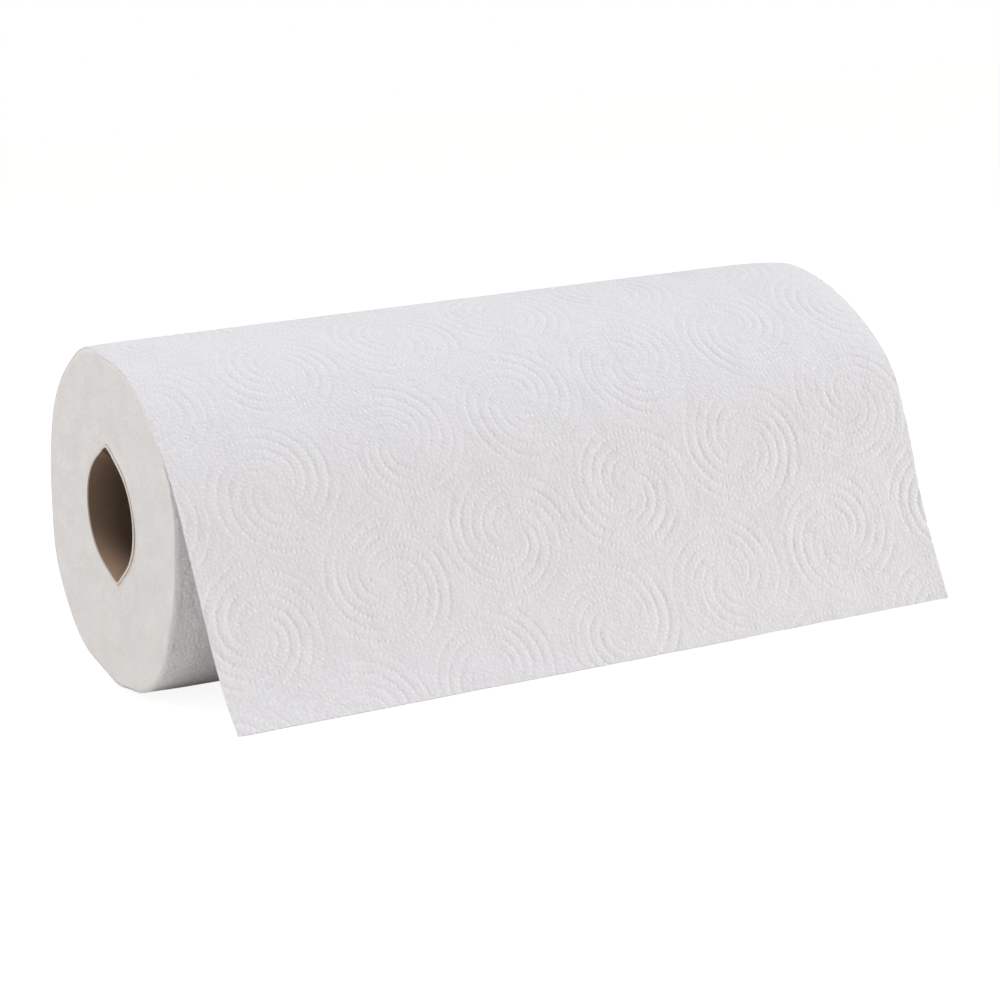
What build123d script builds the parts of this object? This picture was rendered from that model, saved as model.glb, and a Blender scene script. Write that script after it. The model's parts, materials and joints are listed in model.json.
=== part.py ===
from build123d import *
import math
import os

os.makedirs("parts", exist_ok=True)

# Driving dimensions, in millimetres and degrees

# Core: a spiral-wound card tube, once squeezed flat, so it keeps a crease above and below
bore_radius = 20.4
core_wall = 0.7
core_pinch = 22.0
core_clearance = 0.15
core_rise = 2.9

# Wound paper: one long web, with the same soft creases fading towards the outside
web_width = 279.4
roll_radius = 58.1
roll_pinch = 16.0
flat_width = 8.0

# Turn lines on both end faces, one spiral line that stands for bunches of turns
turn_count = 10
turn_line_width = 0.6
turn_line_depth = 0.8
turn_margin = 1.6

# Loose end of the web, which leaves the roll in front, falls and flares out to the table
sheet_thickness = 0.6
root_depth = 1.0
root_angle = 26.0
fall_radius = 82.0
fall_angle = 74.7
flare_radius = 66.0
tip_angle = 48.2


def crease(radius, pinch):
    """Distance from the middle of a pinched round to its crease."""
    return radius / math.cos(math.radians(pinch))


# Worked-out sizes
flat_sag = flat_width / 2 * math.tan(math.radians(roll_pinch))
roll_height = crease(roll_radius, roll_pinch) - flat_sag
core_height = roll_height + core_rise
tube_radius = bore_radius + core_wall
seat_radius = tube_radius + core_clearance
left_end = Plane.YZ.offset(-web_width / 2)
right_end = Plane.YZ.offset(web_width / 2)
half_turns = 2 * turn_count
first_reach = crease(seat_radius, core_pinch) + turn_margin
last_reach = crease(roll_radius, roll_pinch) - turn_margin


def half_turn(start, end, pinch, side):
    """Draws half a turn between two creases on the upright line through the core.

    A straight run leaves each crease, and one arc joins the two runs.
    """
    middle = (start + end) / 2
    reach = (start - end) / 2
    radius = abs(reach) * math.cos(math.radians(pinch))
    run_y = side * radius * math.sin(math.radians(pinch))
    run_z = math.copysign(radius * math.cos(math.radians(pinch)), reach)
    Line((0, start), (run_y, middle + run_z))
    ThreePointArc(
        (run_y, middle + run_z),
        (side * radius, middle),
        (run_y, middle - run_z),
    )
    Line((run_y, middle - run_z), (0, end))


def pinched_round(radius, pinch, height):
    """A round with a soft crease above and below, centred at that height."""
    tip = crease(radius, pinch)
    with BuildLine() as outline:
        half_turn(height + tip, height - tip, pinch, 1)
        half_turn(height - tip, height + tip, pinch, -1)
    make_face(outline.edges())


def crease_height(half, inset):
    """Height of the turn line's crease number half, with the line moved inwards by inset.

    Even creases lie above the core and odd ones below, stepping out evenly to the outside.
    """
    share = half / half_turns
    middle = core_height - core_rise * share
    reach = first_reach + (last_reach - first_reach) * share - inset
    return middle + reach if half % 2 == 0 else middle - reach


def turn_line():
    """Face of the winding's spiral line, from the core to just inside the skin."""
    with BuildLine() as spiral:
        for inset in (0, turn_line_width):
            for half in range(half_turns):
                side = -1 if half % 2 == 0 else 1
                pinch = core_pinch + (roll_pinch - core_pinch) * half / half_turns
                half_turn(crease_height(half, inset), crease_height(half + 1, inset), pinch, side)
        for half in (0, half_turns):
            Line((0, crease_height(half, 0)), (0, crease_height(half, turn_line_width)))
    make_face(spiral.edges())


def drop(radius, angle):
    """Height lost by an arc that bends from level to that angle."""
    return radius * (1 - math.cos(math.radians(angle)))


def loose_end():
    """Section of the loose sheet, drawn along its underside from the roll to the table.

    It starts just under the skin, bends down more gently than the roll does, hangs
    straight, and flares out until its edge rests on the table.
    """
    slope = math.radians(root_angle)
    under_skin = roll_radius - root_depth
    root_height = roll_height + under_skin * math.cos(slope)
    fall_drop = drop(fall_radius, fall_angle) - drop(fall_radius, root_angle)
    flare_drop = drop(flare_radius, fall_angle) - drop(flare_radius, tip_angle)
    hang_length = (root_height - fall_drop - flare_drop) / math.sin(math.radians(fall_angle))
    with BuildLine() as section:
        fall = JernArc(
            start=(-under_skin * math.sin(slope), root_height),
            tangent=(-math.cos(slope), -math.sin(slope)),
            radius=fall_radius,
            arc_size=fall_angle - root_angle,
        )
        hang = Line(fall @ 1, fall @ 1 + fall % 1 * hang_length)
        JernArc(
            start=hang @ 1,
            tangent=hang % 1,
            radius=flare_radius,
            arc_size=tip_angle - fall_angle,
        )
        offset(amount=sheet_thickness, side=Side.RIGHT)
    make_face(section.edges())


# Core
with BuildPart() as core:
    with BuildSketch(left_end):
        pinched_round(tube_radius, core_pinch, core_height)
    extrude(amount=web_width)
    with BuildSketch(left_end):
        pinched_round(bore_radius, core_pinch, core_height)
    extrude(amount=web_width, mode=Mode.SUBTRACT)

core.part.label = "core"
export_step(core.part, "parts/core.step")

# Wound paper with its loose end
with BuildPart() as paper:
    with BuildSketch(left_end):
        pinched_round(roll_radius, roll_pinch, roll_height)
        with Locations((0, -roll_radius)):
            Rectangle(2 * roll_radius, 2 * roll_radius, mode=Mode.SUBTRACT)
    extrude(amount=web_width)
    with BuildSketch(left_end):
        loose_end()
    extrude(amount=web_width)
    with BuildSketch(left_end):
        pinched_round(seat_radius, core_pinch, core_height)
    extrude(amount=web_width, mode=Mode.SUBTRACT)
    with BuildSketch(left_end):
        turn_line()
    extrude(amount=turn_line_depth, mode=Mode.SUBTRACT)
    with BuildSketch(right_end):
        turn_line()
    extrude(amount=-turn_line_depth, mode=Mode.SUBTRACT)

paper.part.label = "paper"
export_step(paper.part, "parts/paper.step")
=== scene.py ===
"""A roll of embossed kitchen towel on its card core, with the loose end hanging in front.

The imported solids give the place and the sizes. The paper and the card are surfaces worked
out here, in metres, in the same frame: +X along the core, -Y towards the loose end, +Z up.
Angles go round from the top towards the back, and side runs from -1 at the left end, where
the camera is, to 1 at the right end.
"""

import json
import math

import bmesh
import bpy
import numpy as np
from bpy.props import FloatProperty, FloatVectorProperty, IntProperty, PointerProperty
from bpy.types import Operator, Panel, PropertyGroup
from mathutils import Euler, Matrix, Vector


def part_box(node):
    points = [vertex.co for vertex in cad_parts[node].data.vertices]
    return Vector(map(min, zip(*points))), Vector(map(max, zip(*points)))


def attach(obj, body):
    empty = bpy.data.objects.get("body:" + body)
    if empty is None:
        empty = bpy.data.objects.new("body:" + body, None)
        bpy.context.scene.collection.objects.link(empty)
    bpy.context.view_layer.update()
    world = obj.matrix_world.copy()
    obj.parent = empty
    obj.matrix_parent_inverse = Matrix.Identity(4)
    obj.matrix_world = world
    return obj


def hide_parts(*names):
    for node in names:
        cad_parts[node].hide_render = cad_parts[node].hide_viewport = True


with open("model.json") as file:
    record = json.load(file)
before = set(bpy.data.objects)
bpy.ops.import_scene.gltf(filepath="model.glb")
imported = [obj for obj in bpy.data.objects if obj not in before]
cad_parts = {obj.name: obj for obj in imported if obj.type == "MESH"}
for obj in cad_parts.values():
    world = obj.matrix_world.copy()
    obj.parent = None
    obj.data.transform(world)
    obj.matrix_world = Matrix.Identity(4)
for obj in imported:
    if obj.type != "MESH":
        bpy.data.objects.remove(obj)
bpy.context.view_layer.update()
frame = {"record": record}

bl_info = {
    "name": "Kitchen towel roll",
    "version": (1, 0, 0),
    "blender": (4, 5, 0),
    "location": "3D Viewport > Sidebar > Towel",
    "description": "Builds an embossed kitchen towel roll with a loose end and a card core",
    "category": "Add Mesh",
}

PAPER_LOW, PAPER_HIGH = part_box("paper")
CORE_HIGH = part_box("core")[1]
BORE = next(m for m in frame["record"]["mounts"] if m["name"] == "core_bore")
BORE_RADIUS = BORE["dims"]["r_mm"] / 1000
BORE_HEIGHT = BORE["pos_m"][2]
TURN = 2 * math.pi
WELD = 1e-6
SHARP_BEND = math.radians(50.0)
WHITE = (1.0, 1.0, 1.0, 1.0)

# The loose sheet's edges: places down from the top crease, and the slopes there in degrees
LEFT_PLACES = (0.0463, 0.0878, 0.1308, 0.16045)
LEFT_SLOPES = (45.0, 69.2, 69.2, 50.6)
RIGHT_PLACES = (0.0, 0.006, 0.014, 0.024, 0.036, 0.050, 0.066, 0.086, 0.112, 0.136, 0.16045)
RIGHT_SLOPES = (0.0, 10.0, 16.6, 21.5, 29.9, 37.5, 47.2, 73.4, 79.7, 70.2, 68.5)

# How the loose sheet starts: the angle over which the skin's slope at the crest is taken,
# the distance over which the sheet leaves that slope, and the angle that counts as crest
CREST_STEP = 0.01
CREST_BLEND = 0.006
CREST_ANGLE = 1.0
SKIN_STEPS = 300

# Soft swellings of core and skin: their middle and their reach, in degrees
BOTTOM = 180.0
CORE_CREASE_REACH = 19.0
CREST_REACH = 20.0
HEEL_REACH = 9.0
DIP_SPAN = (-8.0, 16.0)
SHOULDER_SPAN = (35.0, 24.0)
SAG_SPAN = (122.0, 27.4)
TUCK_SPAN = (246.0, 26.0)
END_POWER = 14
FLOOR_SOFTNESS = 0.0006

# The skin's edges are rounded in over so many turns, by at most so much of the whole
ROUND_TURNS = 4
ROUND_MOST = 1.5

# A whorl's eye in arc pitches, its rim in whorl pitches, and how high its waves are cut off
GROOVE_EYE, BEAD_EYE = 0.8, 0.6
WHORL_RIM, GROOVE_FADE, BEAD_FADE = 0.56, 0.12, 0.14
GROOVE_CUT, BEAD_CUT = 0.1, 0.35

# Slow wanders: waves, their range of lengths, the scale of the usual one, and the seeds
WAVES = 8
WAVE_RANGE = (0.7, 1.6)
WANDER_SCALE = 0.02
SWELL_MIDDLE, SWELL_SPREAD, SWELL_MOST = 0.7, 1.5, 1.4
SWELL_SEED, TEAR_SEED, SWAY_SEED, TURN_SEED, END_SEED = 3, 4, 7, 11, 21

# How far the card's cut edge, its ends painted lighter as painted light, and its seam line reach
CARD_RIM = 0.0006
CARD_PAINTED_LIGHT = 0.012
SEAM_LINE = 0.0006


def length(name, default, words, low=0.0):
    """A length property in metres."""
    return FloatProperty(
        name=name, description=words, default=default, min=low, unit="LENGTH", precision=5
    )


def lengths(name, default, words):
    """A row of lengths in metres."""
    return FloatVectorProperty(
        name=name, description=words, default=default, size=len(default), unit="LENGTH", precision=5
    )


def slope(name, degrees, words):
    """An angle property, given in degrees."""
    return FloatProperty(
        name=name, description=words, default=math.radians(degrees), subtype="ANGLE"
    )


def slopes(name, degrees, words):
    """A row of angles, given in degrees."""
    default = tuple(math.radians(angle) for angle in degrees)
    return FloatVectorProperty(
        name=name, description=words, default=default, size=len(default), unit="ROTATION"
    )


def colour(name, default, words):
    """A colour property."""
    return FloatVectorProperty(
        name=name, description=words, default=default, subtype="COLOR", size=3, min=0.0, max=1.0
    )


def share_of(name, default, words):
    """A share from 0 to 1."""
    return FloatProperty(
        name=name, description=words, default=default, subtype="FACTOR", min=0.0, max=1.0
    )


def power(name, default, words):
    """A lamp's power in watts."""
    return FloatProperty(name=name, description=words, default=default, min=0.0, unit="POWER")


class RollSizes(PropertyGroup):
    """Sizes of the winding, its loose end and its core."""

    roll_radius: length("Roll radius", PAPER_HIGH.y, "Radius of the winding's round part")
    roll_pinch: slope("Roll pinch", 16.0, "Half of the bend at the skin's creases")
    core_pinch: slope("Core pinch", 22.0, "Half of the bend at the core's creases")
    crease_softness: slope("Crease softness", 2.0, "How far each crease is rounded off")
    end_softness: slope("End softness", 6.0, "How much more the skin's creases are at its ends")
    crest_lean: slope("Crest lean", 8.4, "How far back the skin's top crease is at the left end")
    core_lean: slope("Core lean", -6.0, "How far back the core's top crease is")
    core_peak: length("Core peak", 0.0016, "How far the core's top crease is drawn up")
    core_drop: length("Core drop", 0.0012, "How far the core's bottom crease is drawn down")
    left_ridge: length("Left ridge", -0.0002, "How high the top crease stands at the left", -1.0)
    right_ridge: length("Right ridge", 0.0011, "How high the top crease stands at the right", -1.0)
    droop: length("Droop", 0.0018, "How far the top crease drops at the right end")
    dip: length("Dip", 0.0008, "How far the skin drops before its top crease, at the left")
    heel: length("Heel", 0.0029, "How far the bottom crease rises at both ends")
    shoulder: length("Shoulder", 0.0018, "How full the roll is behind its top crease")
    sag: length("Sag", 0.0045, "How full the roll is low down at the back")
    tuck: length("Tuck", 0.0037, "How far the roll is drawn in under its loose sheet")
    core_wall: length("Core wall", CORE_HIGH.y - BORE_RADIUS, "Thickness of the card")
    seat_gap: length("Seat gap", 0.00015, "Room between the card and the first turn")
    turn_count: IntProperty(name="Turns", description="Turns of paper", default=86, min=8)
    loose_length: length("Loose length", 0.16045, "From the top crease down to the loose edge")
    left_root: slope("Left root", 45.0, "Where the left edge leaves the skin")
    left_places: lengths("Left places", LEFT_PLACES, "Places along the sheet's left edge")
    left_slopes: slopes("Left slopes", LEFT_SLOPES, "Slope of the left edge at its places")
    right_places: lengths("Right places", RIGHT_PLACES, "Places along the sheet's right edge")
    right_slopes: slopes("Right slopes", RIGHT_SLOPES, "Slope of the right edge at its places")
    tab_pitch: length("Tab pitch", 0.0026, "Spacing of the torn perforation's tabs")
    tab_height: length("Tab height", 0.00035, "How far the tabs stand out")
    strip_pitch: length("Strip pitch", 0.092, "Lead of the core's spiral seam")
    seam_height: length("Seam height", 0.00018, "Step at the core's spiral seam")


class EmbossSizes(PropertyGroup):
    """Sizes of the paper's embossing, whorls of pressed arcs on a field of small dots."""

    whorl_pitch: length("Whorl pitch", 0.049, "Spacing of the whorls")
    whorl_slant: slope("Whorl slant", 10.0, "Slope of the rows of whorls")
    whorl_shift: length("Whorl shift", 0.013, "Where the rows start along the web")
    arm_pitch: length("Arm pitch", 0.0041, "Spacing of a whorl's arcs")
    arm_count: IntProperty(name="Arms", description="Arms of a whorl", default=6, min=1)
    groove_depth: length("Groove depth", 0.00022, "Depth of a whorl's arcs")
    bead_pitch: length("Bead pitch", 0.0018, "Spacing of the beads along an arc")
    bead_depth: length("Bead depth", 0.00013, "Depth of the beads")
    dot_pitch: length("Dot pitch", 0.0017, "Spacing of the small dots")
    dot_depth: length("Dot depth", 0.00013, "Depth of the small dots")
    dot_scatter: share_of("Dot scatter", 0.75, "How unevenly the small dots are set")
    end_wander: length("End wander", 0.00025, "How far single turns stand in or out")
    end_round: length("End round", 0.0008, "How far the skin's edges are rounded in")


class Finishes(PropertyGroup):
    """Colours of the paper and the card, and the height of the tissue's own grain."""

    paper: colour("Paper", (0.772, 0.761, 0.79), "Embossed sheet")
    edges: colour("Edges", (0.764, 0.744, 0.744), "Cut edges of the turns")
    # The card's colour is painted darker than the card itself, as painted shade inside the tube
    card: colour("Card", (0.122, 0.082, 0.058), "Core card inside")
    card_rim: colour("Card rim", (0.72, 0.66, 0.61), "Core card's cut edge")
    fibre_height: length("Fibre height", 0.000025, "Height of the tissue's fibres")
    dimple_height: length("Dimple height", 0.00018, "Height of the tissue's small dimples")
    crumple_height: length("Crumple height", 0.0011, "Height of the tissue's soft crumples")


class StageSizes(PropertyGroup):
    """Camera, lamps and floor."""

    camera_place: lengths(
        "Camera place", (-0.492223, -0.947635, 0.195042), "Where the camera stands"
    )
    camera_turn: FloatVectorProperty(
        name="Camera turn",
        description="How the camera is turned",
        default=tuple(math.radians(a) for a in (82.0874, 4.7672, -28.5474)),
        subtype="EULER",
        size=3,
        precision=4,
    )
    camera_lens: FloatProperty(
        name="Camera lens", description="Lens on a 36 mm sensor", default=108.0, unit="CAMERA"
    )
    floor_size: length("Floor size", 60.0, "Side of the floor")
    floor_tint: colour("Floor tint", (0.94, 0.91, 0.85), "Floor as the light sees it")
    shadow_share: share_of("Shadow share", 0.22, "How much of the floor takes shadows")
    lamp_size: length("Lamp size", 0.9, "Side of each lamp")
    side_place: lengths("Side place", (2.45, -1.15, 0.5), "Where the lamp at the right stands")
    side_power: power("Side power", 42.0, "Power of the lamp at the right")
    high_place: lengths("High place", (-0.9, 0.5, 1.9), "Where the high lamp at the left stands")
    high_power: power("High power", 20.0, "Power of the high lamp at the left")
    low_place: lengths("Low place", (-1.5, -1.0, 0.15), "Where the low lamp at the left stands")
    low_power: power("Low power", 3.8, "Power of the low lamp at the left")
    sky: share_of("Sky", 0.485, "Strength of the even light")


def sizes():
    """The roll's sizes."""
    return bpy.context.scene.towel_roll


def emboss():
    """The embossing's sizes."""
    return bpy.context.scene.towel_emboss


def finishes():
    """The finishes' colours and grain."""
    return bpy.context.scene.towel_finishes


def stage():
    """The stage's sizes."""
    return bpy.context.scene.towel_stage


def half_width():
    """Half of the web's width."""
    return (PAPER_HIGH.x - PAPER_LOW.x) / 2


def seat_radius():
    """Radius of the first turn, a little over the card's."""
    return BORE_RADIUS + sizes().core_wall + sizes().seat_gap


def turn_thickness():
    """Thickness that one turn of paper adds to the winding."""
    return (sizes().roll_radius - seat_radius()) / sizes().turn_count


def roll_middle():
    """Height of the skin's middle."""
    return PAPER_HIGH.z - sizes().roll_radius / math.cos(sizes().roll_pinch)


def bell(around, middle, reach, power=2):
    """One at the middle angle, falling away past the reach, both in degrees.

    It is the exponential of minus a power of the angle from the middle over the reach. A
    power of 4 gives it a flat top.
    """
    off_middle = (np.degrees(around) - middle + 180) % 360 - 180
    return np.exp(-((off_middle / reach) ** power))


def end_share(side):
    """Nought along most of the roll, and one at its ends: a high power of side."""
    return np.abs(side) ** END_POWER


def end_inset(depth):
    """How far the web's edge stands in from the end plane, at a depth of turns.

    It falls with the square of the depth and is gone a few turns down.
    """
    return emboss().end_round * np.clip(1 - (depth - 1) / ROUND_TURNS, 0.0, ROUND_MOST) ** 2


def pinched_reach(around, radius, pinch, softness, lean):
    """Distance from the middle to a pinched round, for angles round it from the top.

    It is the radius divided by the cosine of what is left of the pinch angle. That angle
    shrinks with the angle from the nearest crease, which is rounded off by a small
    hypotenuse, so the reach is the plain radius past the straight runs. The top crease
    leans back, and the lean fades to the bottom with the square of half the angle's cosine.
    """
    leaned = around - lean * np.cos(around / 2) ** 2
    off_crease = np.abs((leaned + math.pi / 2) % math.pi - math.pi / 2)
    left = pinch + softness - np.hypot(off_crease, softness)
    return radius / np.cos(np.maximum(left, 0.0))


def peak(around):
    """How far the core's creases stand out of its pinched round, as two plain bells."""
    s = sizes()
    up = s.core_peak * bell(around, np.degrees(s.core_lean), CORE_CREASE_REACH)
    return up + s.core_drop * bell(around, BOTTOM, CORE_CREASE_REACH)


def skin_lean(side):
    """How far back the skin's top crease leans, least at the right end."""
    return sizes().crest_lean * (1 - side) / 2


def fullness(around, side):
    """How far the soft skin stands out of its pinched round.

    Both creases have a plain bell: the top one rises from the left end to the right one and
    drops there, and the bottom one is lifted at both ends. Another bell dips the left end
    just in front of its top crease. Three flat-topped bells are a shoulder, a sag low at
    the back and a tuck in front.
    """
    s = sizes()
    ridge = (s.left_ridge * (1 - side) + s.right_ridge * (1 + side)) / 2
    ridge = ridge - s.droop * end_share(side) * (side > 0)
    total = ridge * bell(around, np.degrees(skin_lean(side)), CREST_REACH)
    total = total - s.dip * end_share(side) * (side < 0) * bell(around, *DIP_SPAN)
    total = total - s.heel * end_share(side) * bell(around, BOTTOM, HEEL_REACH)
    for height, span in ((s.shoulder, SHOULDER_SPAN), (s.sag, SAG_SPAN), (-s.tuck, TUCK_SPAN)):
        total = total + height * bell(around, *span, power=4)
    return total


def winding(around, depth, side):
    """Place (y, z) of the web at an angle round from the top, at a depth of turns.

    The radius falls by one thickness for each turn of depth and for each whole angle, down
    to the seat round the core. The pinch and the height of the middle go evenly from the
    core's to the skin's. The skin's fullness and the softness of its ends fade with the
    square towards the core, and the core's creases fade evenly towards the skin. The floor
    is a soft lower limit: half of z plus the root of z squared plus a small square.
    """
    s = sizes()
    seat = seat_radius()
    radius = np.maximum(s.roll_radius - turn_thickness() * (depth + around / TURN), seat)
    share = (radius - seat) / (s.roll_radius - seat)
    pinch = s.core_pinch + (s.roll_pinch - s.core_pinch) * share
    middle = BORE_HEIGHT + (roll_middle() - BORE_HEIGHT) * share
    softness = s.crease_softness + s.end_softness * end_share(side) * share**2
    lean = s.core_lean * (1 - share) + skin_lean(side) * share
    reach = pinched_reach(around, radius, pinch, softness, lean)
    reach = reach + share**2 * fullness(around, side) + (1 - share) * peak(around)
    y = reach * np.sin(around)
    z = middle + reach * np.cos(around)
    return y, (z + np.hypot(z, FLOOR_SOFTNESS)) / 2


def skin_heading(distance, side, root):
    """Slope below level of the skin in front of the top crease, by distance from it.

    The skin is walked in small steps of its angle, down to the root. The distance to the
    root is given too.
    """
    around = TURN - np.linspace(0.0, root, SKIN_STEPS)
    y, z = winding(around, 0.0, side)
    step_y, step_z = -np.diff(y), -np.diff(z)
    gone = np.cumsum(np.hypot(step_y, step_z))
    return np.interp(distance, gone, np.arctan2(step_z, step_y)), gone[-1]


def loose_path(distance, share):
    """Place (y, z) and outward direction of the loose sheet's inner face.

    distance holds even steps from the top crease and share runs from 0 at the left edge to
    1 at the right. Each edge's slope is a broken line, but for the left edge's first part,
    which follows the skin. The slope is blended between the edges, and the place is the
    running sum of its cosine outwards and its sine downwards, from the skin's top. What is
    left over at the table is spread by the square of the distance. Where the sheet would
    then cut into the skin it is lifted onto it.
    """
    s = sizes()
    side = 2 * share - 1
    on_skin, root_place = skin_heading(distance, -1.0, s.left_root)
    hung = np.interp(distance, s.left_places, s.left_slopes)
    left = np.where(distance < root_place, on_skin, np.maximum(hung, s.left_slopes[0]))
    left = np.where(distance < s.left_places[2], np.maximum(left, on_skin), left)
    right = np.interp(distance, s.right_places, s.right_slopes)
    heading = left[:, None] * (1 - share) + right[:, None] * share
    near_y, near_z = winding(TURN - np.array([[0.0], [CREST_STEP]]), 0.0, side)
    first = np.arctan2(near_z[0] - near_z[1], near_y[0] - near_y[1])
    heading = heading + (first - heading[0]) * np.exp(-distance / CREST_BLEND)[:, None]
    step = distance[1] - distance[0]
    y = -running_sum(np.cos(heading)) * step
    z = winding(TURN, 0.0, side)[1] - running_sum(np.sin(heading)) * step
    z -= z[-1] * ((distance / distance[-1]) ** 2)[:, None]
    middle = roll_middle()
    around = np.arctan2(y, z - middle) % TURN
    skin_y, skin_z = winding(np.where(around < CREST_ANGLE, TURN, around), 0.0, side)
    lift = np.maximum(np.hypot(skin_y, skin_z - middle) / np.hypot(y, z - middle), 1.0)
    return y * lift, middle + (z - middle) * lift, -np.sin(heading), np.cos(heading)


def running_sum(values):
    """Running sum down the rows by the middle of each pair of neighbours, from nought."""
    middles = (values[1:] + values[:-1]) / 2
    return np.vstack([np.zeros_like(values[:1]), np.cumsum(middles, axis=0)])


def wander(u, v, scale, seed):
    """A slow even wander from -1 to 1: the mean of sine waves of seeded directions."""
    draw = np.random.default_rng(seed)
    total = np.zeros(np.broadcast(u, v).shape)
    for _ in range(WAVES):
        turn, phase = draw.uniform(0, TURN, 2)
        wave = TURN / (scale * draw.uniform(*WAVE_RANGE))
        total += np.sin(wave * (u * math.cos(turn) + v * math.sin(turn)) + phase)
    return total / WAVES


def nearest_whorl(u, v):
    """Place relative to the nearest whorl's middle, and the whorl's hand, +1 or -1.

    The web's coordinates are turned by the slant. The middles are two rectangular lattices,
    one set between the other's, which together are a honeycomb. The nearest middle of each
    is found by rounding, and the nearer of the two is taken.
    """
    e = emboss()
    across, along = e.whorl_pitch, e.whorl_pitch * math.sqrt(3)
    v = v + e.whorl_shift
    a = u * math.cos(e.whorl_slant) + v * math.sin(e.whorl_slant)
    b = v * math.cos(e.whorl_slant) - u * math.sin(e.whorl_slant)
    a1, b1 = a - across * np.round(a / across), b - along * np.round(b / along)
    a2 = a - across * (np.floor(a / across) + 0.5)
    b2 = b - along * (np.floor(b / along) + 0.5)
    first = a1 * a1 + b1 * b1 < a2 * a2 + b2 * b2
    return np.where(first, a1, a2), np.where(first, b1, b2), np.where(first, 1.0, -1.0)


def whorl_grooves(u, v):
    """Depth of the whorls' arcs at web coordinates, without their beads.

    The phase across the arcs is the radius over the arc pitch, less the number of arms
    times the share of a turn. The arc is where its cosine is high. It fades at the whorl's
    eye and rim, and comes and goes with a slow wander.
    """
    e = emboss()
    a, b, hand = nearest_whorl(u, v)
    radius = np.hypot(a, b)
    phase = radius / e.arm_pitch - hand * e.arm_count * np.arctan2(b, a) / TURN
    crest = np.clip((np.cos(TURN * phase) - GROOVE_CUT) / (1 - GROOVE_CUT), 0.0, 1.0)
    crest = crest * crest * (3 - 2 * crest)
    eye = np.clip(radius / e.arm_pitch - GROOVE_EYE, 0.0, 1.0)
    rim = np.clip((WHORL_RIM * e.whorl_pitch - radius) / (GROOVE_FADE * e.whorl_pitch), 0.0, 1.0)
    swell = SWELL_MIDDLE + SWELL_SPREAD * wander(u, v, WANDER_SCALE, SWELL_SEED)
    return e.groove_depth * crest * eye * rim * np.clip(swell, 0.0, SWELL_MOST)


def quads(rows, columns, start, flip=False):
    """Faces of a grid of points stored row by row from that start."""
    corner = start + np.arange(rows - 1)[:, None] * columns + np.arange(columns - 1)
    ring = np.stack([corner, corner + columns, corner + columns + 1, corner + 1], -1)
    ring = ring.reshape(-1, 4)
    return ring[:, ::-1] if flip else ring


def rim_faces(fine, coarse, ratio):
    """Triangles between a fine closed loop and a coarse one, ratio fine edges to each."""
    fine = fine.reshape(-1, ratio)
    after = np.roll(fine, -1, axis=0)[:, :1]
    fine = np.concatenate([fine, after], axis=1)
    following = np.roll(coarse, -1)
    half = ratio // 2
    made = [np.stack([coarse, following, fine[:, half]], -1)]
    for k in range(ratio):
        anchor = coarse if k < half else following
        made.append(np.stack([anchor, fine[:, k + 1], fine[:, k]], -1))
    return np.concatenate(made)


def border(rows, columns, start):
    """The closed loop round a grid's edge: first row, last column, last row, first column."""
    grid = start + np.arange(rows * columns).reshape(rows, columns)
    return np.concatenate([grid[0, :-1], grid[:-1, -1], grid[-1, :0:-1], grid[:0:-1, 0]])


def sheet_shell(outer, inner, outer_web, inner_web, ratio, flip=False):
    """Points, faces and web coordinates of a closed thin sheet.

    outer and inner are grids of points, the inner one coarser by the ratio both ways, and
    a rim of triangles joins their borders.
    """
    rows, columns = outer.shape[:2]
    few_rows, few_columns = inner.shape[:2]
    start = rows * columns
    points = np.concatenate([outer.reshape(-1, 3), inner.reshape(-1, 3)])
    web = np.concatenate([outer_web.reshape(-1, 2), inner_web.reshape(-1, 2)])
    rim = rim_faces(border(rows, columns, 0), border(few_rows, few_columns, start), ratio)
    faces = [
        quads(rows, columns, 0, flip),
        quads(few_rows, few_columns, start, not flip),
        rim if flip else rim[:, ::-1],
    ]
    return points, faces, web


def strip_shell(strips):
    """Points, faces and web coordinates of grids that close a body by their shared edges.

    Each strip is a grid of points, web coordinates, of which it takes as many as it has
    points, and whether its faces are flipped.
    """
    points, faces, webs, start = [], [], [], 0
    for grid, web, flip in strips:
        points.append(grid.reshape(-1, 3))
        faces.append(quads(*grid.shape[:2], start, flip))
        webs.append(web.reshape(-1, 2)[: len(points[-1])])
        start += len(points[-1])
    return np.concatenate(points), faces, np.concatenate(webs)


def make_piece(name, points, faces, web, material, weld=False):
    """A mesh object from points, faces and web coordinates, smooth but for sharp bends."""
    mesh = bpy.data.meshes.new(name)
    corners = np.concatenate([f.reshape(-1) for f in faces])
    counts = np.concatenate([np.full(len(f), f.shape[1]) for f in faces])
    mesh.vertices.add(len(points))
    mesh.vertices.foreach_set("co", points.astype(np.float32).reshape(-1))
    mesh.loops.add(len(corners))
    mesh.loops.foreach_set("vertex_index", corners.astype(np.int32))
    mesh.polygons.add(len(counts))
    starts = np.concatenate([[0], np.cumsum(counts)[:-1]])
    mesh.polygons.foreach_set("loop_start", starts.astype(np.int32))
    mesh.update(calc_edges=True)
    layer = mesh.uv_layers.new(name="web")
    layer.data.foreach_set("uv", web[corners].astype(np.float32).reshape(-1))
    if weld:
        shell = bmesh.new()
        shell.from_mesh(mesh)
        bmesh.ops.remove_doubles(shell, verts=shell.verts, dist=WELD)
        shell.to_mesh(mesh)
        shell.free()
    mesh.shade_smooth()
    mesh.set_sharp_from_angle(angle=SHARP_BEND)
    mesh.materials.append(material)
    piece = bpy.data.objects.new(name, mesh)
    bpy.context.scene.collection.objects.link(piece)
    return piece


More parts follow.
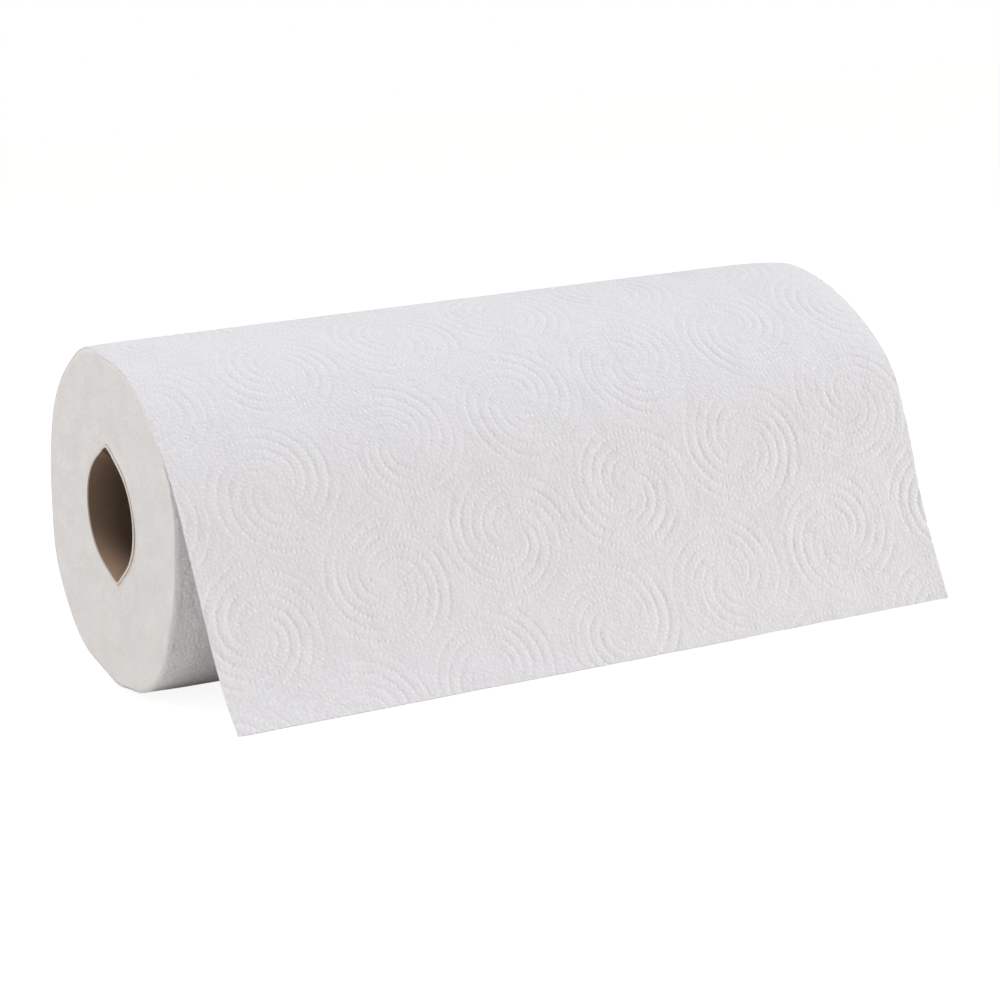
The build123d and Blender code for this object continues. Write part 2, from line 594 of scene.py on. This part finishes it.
class Number:
    """A number socket that takes part in sums, so shader maths reads as formulas."""

    def __init__(self, finish, socket):
        self.finish = finish
        self.socket = socket

    def _math(self, operation, *others):
        return self.finish.node("Math", {"operation": operation}, [self, *others])

    def __add__(self, other):
        return self._math("ADD", other)

    def __radd__(self, other):
        return self._math("ADD", other)

    def __sub__(self, other):
        return self._math("SUBTRACT", other)

    def __rsub__(self, other):
        return self.finish.node("Math", {"operation": "SUBTRACT"}, [other, self])

    def __mul__(self, other):
        return self._math("MULTIPLY", other)

    def __rmul__(self, other):
        return self._math("MULTIPLY", other)

    def __truediv__(self, other):
        return self._math("DIVIDE", other)

    def __lt__(self, other):
        return self._math("LESS_THAN", other)

    def __abs__(self):
        return self._math("ABSOLUTE")

    def cos(self):
        return self._math("COSINE")

    def round(self):
        return self._math("ROUND")

    def floor(self):
        return self._math("FLOOR")

    def hypot(self, other):
        return (self * self + other * other)._math("SQRT")

    def atan2(self, other):
        return self._math("ARCTAN2", other)

    def limit(self):
        return self.finish.node("Clamp", {}, [self, 0.0, 1.0])

    def pick(self, if_one, if_nought):
        return if_nought + self * (if_one - if_nought)


class Finish:
    """The nodes of a material or of the world. One method makes any node and links it."""

    def __init__(self, owner):
        self.owner = owner
        owner.use_nodes = True
        self.tree = owner.node_tree
        self.tree.nodes.clear()

    def node(self, kind, settings, values, output=0):
        """Adds a node of that type, sets it, then its sockets, and returns an output."""
        made = self.tree.nodes.new("ShaderNode" + kind)
        for name, value in settings.items():
            setattr(made, name, value)
        pairs = values.items() if isinstance(values, dict) else enumerate(values)
        for key, value in pairs:
            if isinstance(value, Number):
                self.tree.links.new(value.socket, made.inputs[key])
            else:
                made.inputs[key].default_value = value
        return Number(self, made.outputs[output] if len(made.outputs) else None)

    def mix(self, share, first, second):
        """A colour between two, by a share from 0 to 1."""
        first, second = (
            value if isinstance(value, Number) else (*value, 1.0) for value in (first, second)
        )
        return self.node("Mix", {"data_type": "RGBA"}, {0: share, 6: first, 7: second}, 2)

    def noise(self, vector, scale, detail):
        """A noise from 0 to 1, with its scale to the metre."""
        return self.node("TexNoise", {}, {"Vector": vector, "Scale": scale, "Detail": detail})

    def web_coordinates(self):
        """The web's coordinates, as a vector and as two numbers."""
        web = self.node("UVMap", {"uv_map": "web"}, [])
        u, v = (self.node("SeparateXYZ", {}, [web], axis) for axis in "XY")
        return web, u, v

    def surface(self, shader, output="OutputMaterial"):
        """Makes a shader the surface of the material, or the light of the world."""
        self.node(output, {}, {"Surface": shader})
        return self.owner

    def matt(self, shade, height, roughness, specular):
        """A matt surface with a shade that varies, and a height in metres as its bump."""
        bump = self.node("Bump", {}, {"Strength": 1.0, "Distance": 1.0, "Height": height})
        body = {
            "Base Color": shade,
            "Roughness": roughness,
            "Specular IOR Level": specular,
            "Normal": bump,
        }
        return self.surface(self.node("BsdfPrincipled", {}, body))


def shaded(tint, share):
    """A colour made darker or lighter."""
    return [min(part * share, 1.0) for part in tint]


def beads(u, v):
    """Beads along the whorls' arcs, from nought to one, as a shader formula.

    The nearest whorl and the arcs' phase are those of whorl_grooves. The beads follow the
    angle less the arms' lead over the radius, which runs along the arcs, and their number
    in a turn grows with each ring of arcs.
    """
    e = emboss()
    across, along = e.whorl_pitch, e.whorl_pitch * math.sqrt(3)
    cosine, sine = math.cos(e.whorl_slant), math.sin(e.whorl_slant)
    v = v + e.whorl_shift
    a = u * cosine + v * sine
    b = v * cosine - u * sine
    a1 = a - (a / across).round() * across
    b1 = b - (b / along).round() * along
    a2 = a - ((a / across).floor() + 0.5) * across
    b2 = b - ((b / along).floor() + 0.5) * along
    first = (a1 * a1 + b1 * b1) < (a2 * a2 + b2 * b2)
    a, b = first.pick(a1, a2), first.pick(b1, b2)
    hand = first * 2.0 - 1.0
    radius = a.hypot(b)
    angle = b.atan2(a)
    phase = radius / e.arm_pitch - hand * angle * (e.arm_count / TURN)
    crest = ((phase * TURN).cos() - BEAD_CUT) / (1 - BEAD_CUT)
    lead = e.arm_pitch * e.arm_count / TURN
    ring = (radius / e.arm_pitch).floor() + 0.5
    number = (ring * (TURN * e.arm_pitch / e.bead_pitch)).round()
    bead = ((angle - hand * lead / radius) * number).cos() * 0.5 + 0.5
    eye = (radius / e.arm_pitch - BEAD_EYE).limit()
    rim = ((WHORL_RIM * e.whorl_pitch - radius) / (BEAD_FADE * e.whorl_pitch)).limit()
    return crest.limit() * bead * eye * rim


def paper_finish(name):
    """Soft white tissue, with pressed beads on the whorls, small dots and fibres.

    The small dots are the middles of scattered cells. What is pressed is painted a little lighter,
    a painted highlight on the beads and dots, and the sheet's own tone drifts slowly.
    """
    e, c = emboss(), finishes()
    darker, lighter, speck_highlight_gain = 0.965, 1.02, 1.12
    dot_sharpness, speck_highlight_share = 2.2, 0.6
    f = Finish(bpy.data.materials.new(name))
    web, u, v = f.web_coordinates()
    cells = f.node(
        "TexVoronoi",
        {"voronoi_dimensions": "2D"},
        {"Vector": web, "Scale": 1 / e.dot_pitch, "Randomness": e.dot_scatter},
    )
    dot = (1.0 - cells * dot_sharpness).limit()
    fibre = f.noise(web, scale=2600.0, detail=3.0)
    dimple = f.noise(web, scale=330.0, detail=2.0)
    crumple = f.noise(web, scale=80.0, detail=2.0)
    bead = beads(u, v)
    loft = fibre * c.fibre_height + dimple * c.dimple_height + crumple * c.crumple_height
    height = loft - bead * e.bead_depth - dot * e.dot_depth
    tone = f.noise(web, scale=35.0, detail=3.0)
    sheet = f.mix(tone, shaded(c.paper, darker), shaded(c.paper, lighter))
    # Painted highlight: the pressed beads and dots are painted lighter
    pressed = ((bead + dot) * speck_highlight_share).limit()
    shade = f.mix(pressed, sheet, shaded(c.paper, speck_highlight_gain))
    return f.matt(shade, height, roughness=0.92, specular=0.25)


def edge_finish(name):
    """The turns' cut edges: warm white, in bunches along the turns, faintly mottled.

    They are painted lighter at the outermost turns, a painted highlight on the rounded rim.
    """
    tint = finishes().edges
    darker, lighter = 0.94, 1.03
    streak_share, threshold, contrast, rim_highlight_turns, rim_highlight_share = 0.1, 0.25, 1.8, 6.0, 0.8
    streaks_round, streaks_to_turn = 14.0, 0.4
    streak_height, mottle_height, fluff_height = 0.00001, 0.0014, 0.00012
    f = Finish(bpy.data.materials.new(name))
    _, around, turns = f.web_coordinates()
    place = f.node("TexCoord", {}, [], "Object")
    bunch = f.node("CombineXYZ", {}, [around * streaks_round, turns * streaks_to_turn, 0.0])
    streaks = f.noise(bunch, scale=1.0, detail=3.0)
    mottle = f.noise(place, scale=95.0, detail=3.0)
    fluff = f.noise(place, scale=900.0, detail=3.0)
    mixed = streaks * streak_share + mottle * (1 - streak_share)
    # Painted highlight on the rounded rim: lighter over the outermost turns
    outer = (1.0 - turns / rim_highlight_turns).limit()
    share = (mixed - threshold) * contrast + outer * rim_highlight_share
    shade = f.mix(share.limit(), shaded(tint, darker), shaded(tint, lighter))
    height = streaks * streak_height + mottle * mottle_height + fluff * fluff_height
    return f.matt(shade, height, roughness=0.95, specular=0.2)


def card_finish(name):
    """Grey-brown card with short fibres, a lighter cut edge and a line at the seam.

    Its body colour is painted darker, as painted shade inside the tube. Near its ends the card is
    painted lighter, as painted light falling in at the openings, more at the bottom than at the
    top and least at the sides.
    """
    s, c = sizes(), finishes()
    darker, lighter, painted_light_gain, lined = 0.8, 1.25, 5.0, 0.45
    fibre_share, seam_share = 0.6, 0.5
    fibres_round, fibres_along = 60.0, 500.0
    rim_sharpness, painted_light_sharpness = 3000.0, 55.0
    painted_light_level, painted_light_low, painted_light_creases = 0.55, 0.25, 0.2
    fibre_height, cloud_height, seam_depth = 0.00012, 0.0002, 0.0003
    f = Finish(bpy.data.materials.new(name))
    _, around, along = f.web_coordinates()
    place = f.node("TexCoord", {}, [], "Object")
    strand = f.node("CombineXYZ", {}, [around * fibres_round, along * fibres_along, 0.0])
    fibre = f.noise(strand, scale=1.0, detail=4.0)
    cloud = f.noise(place, scale=60.0, detail=3.0)
    phase = along / s.strip_pitch - around
    off_seam = (phase - phase.round()) * s.strip_pitch
    seam = (1.0 - off_seam * off_seam * (1 / SEAM_LINE**2)).limit()
    off_middle = abs(along - half_width())
    rim = ((off_middle - (half_width() - CARD_RIM)) * rim_sharpness).limit()
    # Painted light: near its ends the card is painted lighter, most at the bottom, less at the top,
    # least at the sides
    ends = ((off_middle - (half_width() - CARD_PAINTED_LIGHT)) * painted_light_sharpness).limit()
    creases = (around * (2 * TURN)).cos() * painted_light_creases
    painted_light = ends * (painted_light_level - (around * TURN).cos() * painted_light_low + creases)
    grain = (fibre * fibre_share + cloud * (1 - fibre_share)).limit()
    body = f.mix(grain, shaded(c.card, darker), shaded(c.card, lighter))
    lit_card = f.mix(painted_light, body, shaded(c.card, painted_light_gain))
    seamed = f.mix(seam * seam_share, lit_card, shaded(c.card, lined))
    shade = f.mix(rim, seamed, c.card_rim)
    height = fibre * fibre_height + cloud * cloud_height - seam * seam_depth
    return f.matt(shade, height, roughness=0.85, specular=0.3)


def material(name, make):
    """The material of that name, made on first use."""
    return bpy.data.materials.get(name) or make(name)


def finish_piece(piece, node):
    """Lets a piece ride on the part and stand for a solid."""
    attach(piece, "root")
    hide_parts(node)


class TOWEL_OT_loose_sheet(Operator):
    """Builds the loose sheet, from the roll's top crease down to the table"""

    bl_idname = "towel.loose_sheet"
    bl_label = "Loose sheet"

    rows = 208
    columns = 432
    ratio = 4
    fine = 8
    rounded_reach = 0.07
    torn_reach = 0.0016
    tab_cut = -0.7
    sway_height = 0.0006
    sway_scale = 0.16

    def face(self, thin, ply):
        """Points and web coordinates of one face: ply is 0 inside the sheet and -1 outside.

        The path's place is moved outwards by the ply's thickness less the grooves, and by a
        slow sway that grows with the square of the distance from the top crease. At the
        loose edge it is also moved along the sheet by the torn tabs. The sides are rounded
        in as far as the sheet lies on the roll.
        """
        s = sizes()
        share = np.linspace(0.0, 1.0, self.columns // thin + 1)
        distance = np.linspace(0.0, s.loose_length, self.rows * self.fine + 1)
        y, z, out_y, out_z = loose_path(distance, share)
        pick = slice(None, None, self.fine * thin)
        y, z, out_y, out_z = y[pick], z[pick], out_y[pick], out_z[pick]
        v = np.broadcast_to((s.loose_length - distance[pick])[:, None], y.shape)
        u = np.broadcast_to(2 * share * half_width(), y.shape)
        on_roll = np.clip(1 - distance[pick][:, None] / self.rounded_reach, 0.0, 1.0)
        x = (2 * share - 1) * (half_width() - on_roll * end_inset(ply + 1))
        lift = -ply * turn_thickness() - whorl_grooves(u, v)
        torn = np.clip(1 - v / self.torn_reach, 0.0, 1.0)
        tabs = np.where(np.cos(TURN * u / s.tab_pitch) > self.tab_cut, 0.0, 1.0)
        ragged = np.maximum(wander(u, v, WANDER_SCALE, TEAR_SEED), 0.0)
        notch = torn * s.tab_height * (tabs + ragged)
        sway = self.sway_height * wander(u, 0 * v, self.sway_scale, SWAY_SEED)
        sway = sway * (1 - v / s.loose_length) ** 2
        y = y + out_y * (lift + sway) + out_z * notch
        z = np.maximum(z + out_z * lift - out_y * notch, 0.0)
        return np.stack([x, y, z], -1), np.stack([u, v], -1)

    def execute(self, context):
        outer, outer_web = self.face(1, -1.0)
        inner, inner_web = self.face(self.ratio, 0.0)
        shell = sheet_shell(outer, inner, outer_web, inner_web, self.ratio)
        piece = make_piece("loose_sheet", *shell, material("embossed_paper", paper_finish))
        finish_piece(piece, "paper")
        return {"FINISHED"}


class TOWEL_OT_outer_turn(Operator):
    """Builds the winding's outermost turn, which the loose sheet grows out of"""

    bl_idname = "towel.outer_turn"
    bl_label = "Outer turn"

    rows = 320
    columns = 256
    ratio = 4
    relief = 0.8
    inner_ply = 0.98
    hidden_from = 4.9
    hidden_over = 0.3
    hidden_loss = 0.7
    floor_reach = 0.002

    def face(self, thin, relief, ply):
        """Points and web coordinates of one face of the turn, at a ply from 0 to 1.

        The winding's place is moved in along its normal by the grooves. They are shallower
        under the loose sheet and gone at the floor. The web's length is the running sum of
        the mean steps.
        """
        s = sizes()
        around = np.linspace(0.0, TURN, self.rows + 1)[:, None]
        side = np.linspace(-1.0, 1.0, self.columns // thin + 1)
        y, z = winding(around, ply, side)
        steps = np.hypot(np.diff(y, axis=0), np.diff(z, axis=0)).mean(axis=1)
        gone = np.concatenate([[0.0], np.cumsum(steps)])[:, None]
        out_y, out_z = -np.gradient(z, axis=0), np.gradient(y, axis=0)
        size = np.hypot(out_y, out_z)
        y, z, out_y, out_z, gone, around = (
            a[::thin] for a in (y, z, out_y / size, out_z / size, gone, around)
        )
        x = side * (half_width() - end_inset(ply + around / TURN))
        v = s.loose_length + gone + 0 * side
        u = (side + 1) * half_width() + 0 * gone
        hidden = np.clip((around - self.hidden_from) / self.hidden_over, 0.0, 1.0)
        pressed = np.clip(z / self.floor_reach, 0.0, 1.0)
        lift = -relief * whorl_grooves(u, v) * (1 - self.hidden_loss * hidden) * pressed
        points = [x + 0 * lift, y + out_y * lift, z + out_z * lift]
        return np.stack(points, -1), np.stack([u, v], -1)

    def execute(self, context):
        outer, outer_web = self.face(1, self.relief, 0.0)
        inner, inner_web = self.face(self.ratio, 0.0, self.inner_ply)
        shell = sheet_shell(outer, inner, outer_web, inner_web, self.ratio, flip=True)
        piece = make_piece("outer_turn", *shell, material("embossed_paper", paper_finish))
        finish_piece(piece, "paper")
        return {"FINISHED"}


class TOWEL_OT_wound_turns(Operator):
    """Builds the turns under the outermost one, whose cut edges show at both ends"""

    bl_idname = "towel.wound_turns"
    bl_label = "Wound turns"

    columns = 240
    own_share = 0.1
    slow_share = 1.2
    slow_scale = 0.03
    set_in = 1.3
    ridge = 0.00003
    deepest = 0.0006
    proudest = 0.0001
    start_turn = 0.8

    def end_face(self, side):
        """Points and web coordinates of one end: two rows of points to each turn.

        Each turn stands in or out by its own amount and by a slow wander, within limits,
        and the points between turns lie a little deeper, so the turns show as fine ridges.
        """
        s = sizes()
        turns = s.turn_count - 1
        around = np.linspace(0.0, TURN, self.columns + 1)
        depth = 1.0 + np.arange(2 * turns + 1)[:, None] / 2
        y, z = winding(around[None, :], depth, side)
        place = depth + around / TURN
        own = np.random.default_rng(TURN_SEED + side).normal(0.0, 1.0, 2 * s.turn_count + 8)
        level = np.interp(place, np.arange(len(own)) / 2, own)
        slow = wander(y, z, self.slow_scale, END_SEED + side)
        proud = self.own_share * level + self.slow_share * slow - self.set_in
        groove = np.where(np.arange(len(depth)) % 2 == 0, self.ridge, 0.0)[:, None]
        rough = np.clip(emboss().end_wander * proud - groove, -self.deepest, self.proudest)
        rough = rough * np.clip(place - self.start_turn, 0.0, 1.0)
        x = side * (half_width() - self.proudest + rough - end_inset(place))
        web = np.stack([np.broadcast_to(around / TURN, place.shape), place], -1)
        return np.stack([x, y, z], -1), web

    def execute(self, context):
        left, web = self.end_face(-1)
        right, _ = self.end_face(1)
        strips = (
            (left, True),
            (right, False),
            (np.stack([left[0], right[0]]), False),
            (np.stack([left[-1], right[-1]]), True),
            (np.stack([left[:3, 0], right[:3, 0]]), True),
            (np.stack([left[-3:, -1], right[-3:, -1]]), False),
        )
        shell = strip_shell((grid, web, flip) for grid, flip in strips)
        piece = make_piece("wound_turns", *shell, material("turn_edges", edge_finish), weld=True)
        finish_piece(piece, "paper")
        return {"FINISHED"}


class TOWEL_OT_card_core(Operator):
    """Builds the card core, a pinched tube with the step of its spiral seam inside"""

    bl_idname = "towel.card_core"
    bl_label = "Card core"

    columns = 144
    rows = 220
    step_reach = 0.003

    def wall(self, radius, along, seam):
        """Points and web coordinates of one face of the tube, stepped at the seam.

        The pinched reach and its peaks are lessened by a step, which rises to the seam with
        the root of the nearness to it.
        """
        s = sizes()
        around = np.linspace(0.0, TURN, self.columns + 1)[None, :]
        along = along[:, None]
        phase = (along + half_width()) / s.strip_pitch - around / TURN
        off = (phase - np.round(phase)) * s.strip_pitch
        step = seam * s.seam_height * np.clip(1 - np.abs(off) / self.step_reach, 0.0, 1.0) ** 0.5
        reach = pinched_reach(around, radius, s.core_pinch, s.crease_softness, s.core_lean)
        reach = reach + peak(around) - step
        x = along + 0 * around
        y = reach * np.sin(around)
        z = BORE_HEIGHT + reach * np.cos(around)
        web = np.stack([np.broadcast_to(around / TURN, x.shape), x + half_width()], -1)
        return np.stack([x, y + 0 * x, z + 0 * x], -1), web

    def execute(self, context):
        along = np.linspace(-half_width(), half_width(), self.rows + 1)
        inner, inner_web = self.wall(BORE_RADIUS, along, 1.0)
        outer, outer_web = self.wall(BORE_RADIUS + sizes().core_wall, along[[0, -1]], 0.0)
        shell = strip_shell([
            (inner, inner_web, True),
            (outer, outer_web, False),
            (np.stack([inner[0], outer[0]]), np.stack([inner_web[0], outer_web[0]]), False),
            (np.stack([inner[-1], outer[-1]]), np.stack([inner_web[-1], outer_web[-1]]), True),
        ])
        piece = make_piece("card_core", *shell, material("wound_card", card_finish), weld=True)
        finish_piece(piece, "core")
        return {"FINISHED"}


class TOWEL_OT_stage(Operator):
    """Sets the floor, the lamps, the even light and the camera"""

    bl_idname = "towel.stage"
    bl_label = "Stage"

    sensor_width = 36.0
    sight = 100.0

    def seen(self, f):
        """One where the camera, a reflection or a clear body looks, and nought for light."""
        rays = ("Is Camera Ray", "Is Glossy Ray", "Is Transmission Ray")
        camera, glossy, clear = (f.node("LightPath", {}, [], ray) for ray in rays)
        return (camera + glossy + clear).limit()

    def floor(self):
        """A plain pale floor that looks white to the camera and keeps a soft shadow.

        Its own glow is what the matt share lacks of white in the even light alone.
        """
        f = Finish(bpy.data.materials.new("floor_white"))
        tint, share = stage().floor_tint, stage().shadow_share
        strength = (1 - share * tint[1] * stage().sky) / (1 - share)
        white = f.node("Emission", {}, {"Color": WHITE, "Strength": strength})
        matt = f.node("BsdfDiffuse", {}, {"Color": (*tint, 1.0)})
        paint = f.surface(f.node("MixShader", {}, [self.seen(f) * (1 - share), matt, white]))
        half = stage().floor_size / 2
        corners = np.array([[-half, -half, 0], [half, -half, 0], [half, half, 0], [-half, half, 0]])
        face = [np.array([[0, 1, 2, 3]])]
        floor = make_piece("floor", corners, face, corners[:, :2], paint)

    def sky(self):
        """Even light, which looks white to the camera."""
        world = bpy.data.worlds.new("even_light")
        bpy.context.scene.world = world
        f = Finish(world)
        strength = self.seen(f).pick(1.0, stage().sky)
        f.surface(f.node("Background", {}, {"Color": WHITE, "Strength": strength}), "OutputWorld")

    def lamp(self, name, place, watts):
        """A square soft lamp aimed at the middle of the roll."""
        data = bpy.data.lights.new(name, "AREA")
        data.size = stage().lamp_size
        data.energy = watts
        lamp = bpy.data.objects.new(name, data)
        lamp.location = place
        aim = (PAPER_LOW + PAPER_HIGH) / 2 - Vector(place)
        lamp.rotation_euler = aim.to_track_quat("-Z", "Y").to_euler()
        bpy.context.scene.collection.objects.link(lamp)

    def camera(self):
        """The camera at the photograph's viewing angle."""
        data = bpy.data.cameras.new("camera")
        data.sensor_width = self.sensor_width
        data.lens = stage().camera_lens
        data.clip_end = self.sight
        camera = bpy.data.objects.new("camera", data)
        camera.location = stage().camera_place
        camera.rotation_euler = Euler(stage().camera_turn)
        bpy.context.scene.collection.objects.link(camera)
        bpy.context.scene.camera = camera

    def execute(self, context):
        s = stage()
        self.floor()
        self.sky()
        self.lamp("side", s.side_place, s.side_power)
        self.lamp("high", s.high_place, s.high_power)
        self.lamp("low", s.low_place, s.low_power)
        self.camera()
        context.scene.view_settings.view_transform = "Standard"
        return {"FINISHED"}


class TOWEL_PT_panel(Panel):
    """Lists the pieces of the towel roll and their sizes"""

    bl_idname = "TOWEL_PT_panel"
    bl_label = "Kitchen towel roll"
    bl_space_type = "VIEW_3D"
    bl_region_type = "UI"
    bl_category = "Towel"

    def draw(self, context):
        for operator in OPERATORS:
            self.layout.operator(operator.bl_idname)
        for name in GROUPS:
            group = getattr(context.scene, name)
            box = self.layout.box()
            for size in group.__annotations__:
                box.prop(group, size)


GROUPS = {
    "towel_roll": RollSizes,
    "towel_emboss": EmbossSizes,
    "towel_finishes": Finishes,
    "towel_stage": StageSizes,
}
OPERATORS = (
    TOWEL_OT_outer_turn,
    TOWEL_OT_loose_sheet,
    TOWEL_OT_wound_turns,
    TOWEL_OT_card_core,
    TOWEL_OT_stage,
)


def register():
    """Registers the add-on's classes and its groups of sizes."""
    for kind in (*GROUPS.values(), *OPERATORS, TOWEL_PT_panel):
        bpy.utils.register_class(kind)
    for name, group in GROUPS.items():
        setattr(bpy.types.Scene, name, PointerProperty(type=group))


def unregister():
    """Removes what register adds."""
    for name in GROUPS:
        delattr(bpy.types.Scene, name)
    for kind in (TOWEL_PT_panel, *reversed(OPERATORS), *reversed(GROUPS.values())):
        bpy.utils.unregister_class(kind)


def main():
    """Builds every piece and the stage."""
    register()
    bpy.ops.towel.outer_turn()
    bpy.ops.towel.loose_sheet()
    bpy.ops.towel.wound_turns()
    bpy.ops.towel.card_core()
    bpy.ops.towel.stage()


if __name__ == "__main__":
    main()
